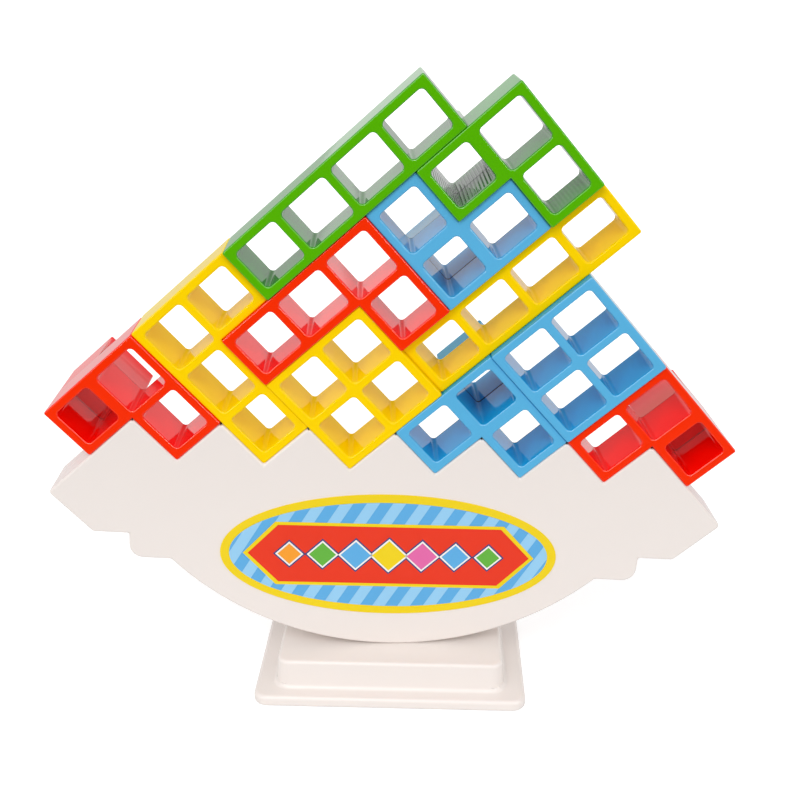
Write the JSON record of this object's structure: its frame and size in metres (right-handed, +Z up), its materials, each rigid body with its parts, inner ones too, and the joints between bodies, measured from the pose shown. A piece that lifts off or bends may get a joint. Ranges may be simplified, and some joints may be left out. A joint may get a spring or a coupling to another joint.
{
  "type": "stacking balance game",
  "caption": "Tabletop balance game: a rocker with a rounded underside and a notched top stands on a low base and carries a fanned stack of hollow interlocking blocks.",
  "frame": {"origin": "middle of the base's flat underside", "axes": "+X to the right along the base's longer side, +Y away from the viewer towards the back, +Z up"},
  "size_m": [0.1934, 0.053, 0.1774],
  "materials": {
    "white_plastic": "moulded, glossy warm white",
    "label_print": "glossy printed film",
    "red_plastic": "moulded, glossy orange red",
    "yellow_plastic": "moulded, glossy yellow",
    "green_plastic": "moulded, glossy green",
    "blue_plastic": "moulded, glossy light blue"
  },
  "bodies": {
    "root": {"base": "white_plastic", "rocker_front": "white_plastic", "rocker_rear": "white_plastic", "oval_label": "label_print", "red_screw_left": "red_plastic", "yellow_ell": "yellow_plastic", "green_bar": "green_plastic", "red_ell": "red_plastic", "yellow_square": "yellow_plastic", "blue_tripod_upper": "blue_plastic", "green_screw": "green_plastic", "yellow_bar": "yellow_plastic", "blue_tripod_lower": "blue_plastic", "blue_square": "blue_plastic", "red_screw_right": "red_plastic"}
  },
  "joints": []
}
